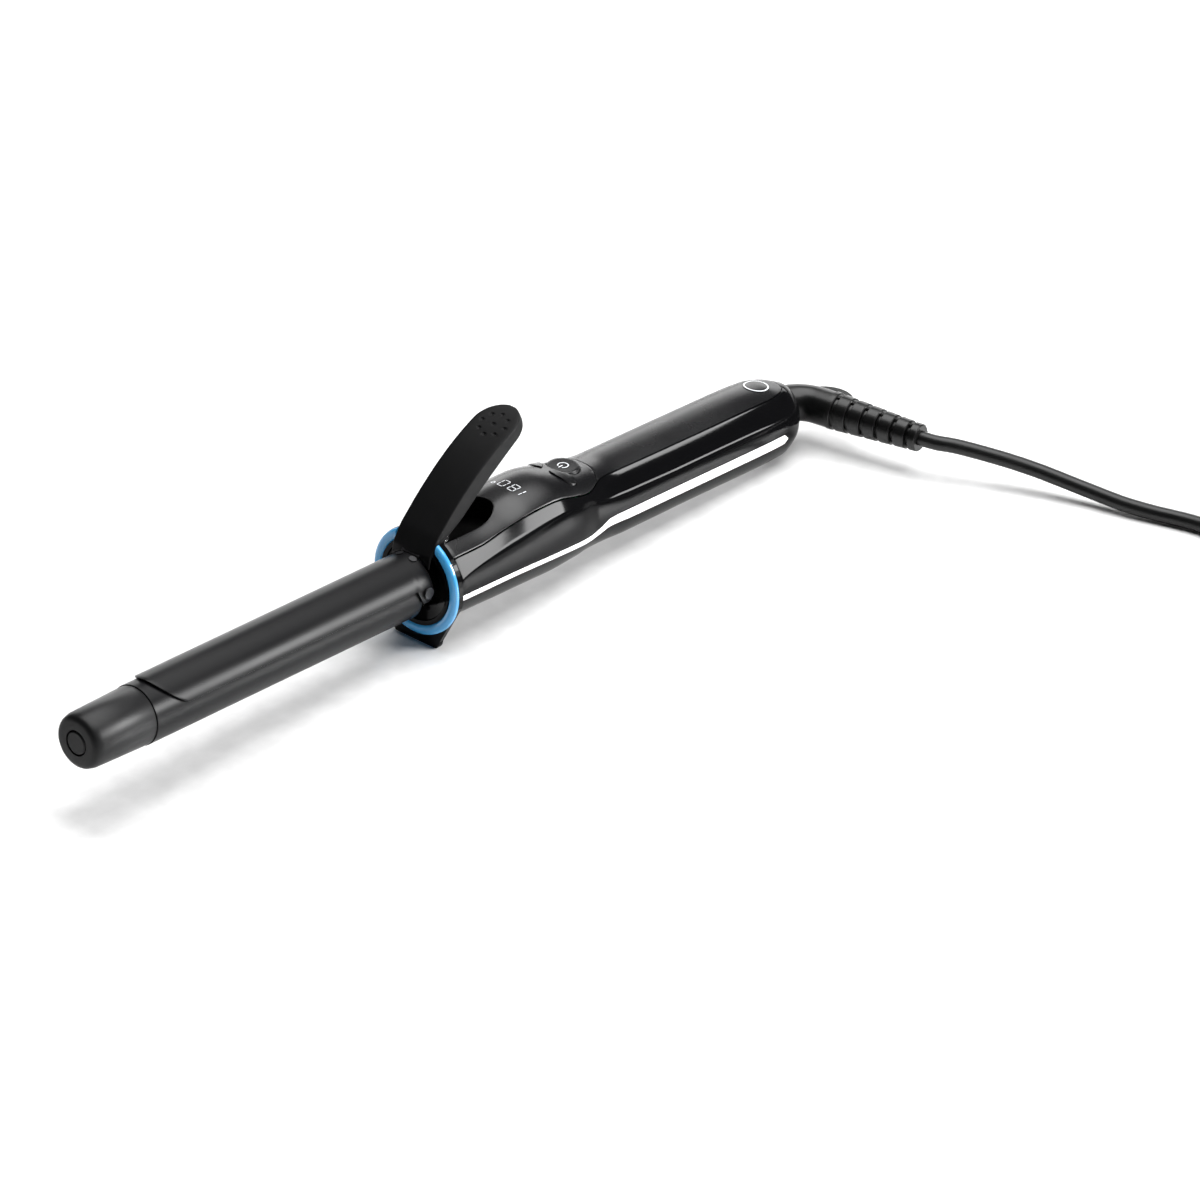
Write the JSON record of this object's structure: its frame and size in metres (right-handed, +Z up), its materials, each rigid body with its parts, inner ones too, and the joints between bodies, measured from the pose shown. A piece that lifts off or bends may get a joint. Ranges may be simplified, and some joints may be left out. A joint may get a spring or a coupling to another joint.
{
  "type": "curling iron",
  "caption": "Clip curling iron with a round heated barrel, sprung clip and thumb lever, light ring, button panel, bench stand, swivel cord and plug.",
  "frame": {"origin": "centre of the iron's bounding box on the plane it stands on, measured without the free cord, coil and plug", "axes": "+Z up from the table, +X from the barrel's tip towards the cord end, +Y across the iron; the barrel's tip is raised 3 degrees"},
  "size_m": [0.4236, 0.2315, 0.0623],
  "materials": {
    "barrel_black": "satin ceramic coating",
    "tip_black": "satin heat-proof plastic",
    "clip_black": "satin coating",
    "lever_black": "soft-touch matt",
    "shell_black": "high gloss",
    "panel_black": "satin gloss, smoked",
    "ring_blue": "translucent, lit",
    "trim_white": "gloss",
    "badge_silver": "polished",
    "neck_black": "heat-proof phenolic",
    "bright_steel": "plain",
    "dark_steel": "blackened",
    "aluminium": "cast",
    "heater_ceramic": "matt",
    "board_green": "solder mask",
    "component_dark": "moulded",
    "component_yellow": "moulded",
    "led_white": "clear lens",
    "wire_red": "silicone",
    "contact_brass": "plain",
    "elbow_black": "satin",
    "cord_rubber": "matt"
  },
  "bodies": {
    "iron": {"barrel_tube": "barrel_black", "tip_cap": "tip_black", "tip_plug": "tip_black", "tip_screw": "bright_steel", "heater_block_upper": "aluminium", "heater_block_lower": "aluminium", "ptc_elements": "heater_ceramic", "temperature_sensor": "component_yellow", "thermal_fuse": "bright_steel", "heater_wires": "wire_red", "barrel_neck": "neck_black", "hinge_rivets": "dark_steel", "clip_spring": "bright_steel", "guard_collar": "shell_black", "light_ring": "ring_blue", "ring_led_board": "board_green", "ring_leds": "led_white", "stand_flange": "shell_black", "lower_shell": "shell_black", "control_panel": "panel_black", "rear_cover": "panel_black", "lever_well": "neck_black", "trim_left": "trim_white", "trim_right": "trim_white", "display_module": "led_white", "control_board": "board_green", "button_switches": "component_dark", "main_board": "board_green", "film_capacitor": "component_yellow", "triac": "component_dark", "board_posts": "neck_black", "board_screws": "bright_steel", "end_badge": "badge_silver", "swivel_socket": "neck_black", "contact_brushes": "contact_brass"},
    "clip": {"clip_plate": "clip_black", "lever_arm": "dark_steel", "clip_rivets": "dark_steel", "clip_lever": "lever_black"},
    "power_key": {"button_power": "panel_black"},
    "plus_key": {"button_plus": "panel_black"},
    "minus_key": {"button_minus": "panel_black"},
    "cord_swivel": {"swivel_elbow": "elbow_black", "swivel_retainer": "bright_steel", "slip_rings": "contact_brass", "strain_relief": "cord_rubber", "cord": "cord_rubber", "cord_coil": "cord_rubber", "cord_end": "cord_rubber", "coil_tie": "elbow_black", "plug_relief": "cord_rubber", "plug_body": "cord_rubber", "plug_pins": "bright_steel"}
  },
  "joints": [
    {"name": "clip_hinge", "type": "hinge", "parent": "iron", "child": "clip", "pos_m": [-0.02629, 0, 0.0223], "axis": [0, 1, 0], "range_deg": [0, 15], "stiffness_Nm_per_rad": 0.5, "springref_deg": -14.32, "deforming": ["clip_spring"]},
    {"name": "power_press", "type": "slide", "parent": "iron", "child": "power_key", "axis": [-0.0523, 0, -0.9986], "range_m": [0, 0.0006], "stiffness_N_per_m": 500, "springref_m": -0.001},
    {"name": "plus_press", "type": "slide", "parent": "iron", "child": "plus_key", "axis": [-0.0523, 0, -0.9986], "range_m": [0, 0.0006], "stiffness_N_per_m": 500, "springref_m": -0.001},
    {"name": "minus_press", "type": "slide", "parent": "iron", "child": "minus_key", "axis": [-0.0523, 0, -0.9986], "range_m": [0, 0.0006], "stiffness_N_per_m": 500, "springref_m": -0.001},
    {"name": "cord_turn", "type": "hinge", "parent": "iron", "child": "cord_swivel", "pos_m": [0.13144, 0, 0.01303], "axis": [0.9986, 0, -0.0523], "continuous": true}
  ]
}
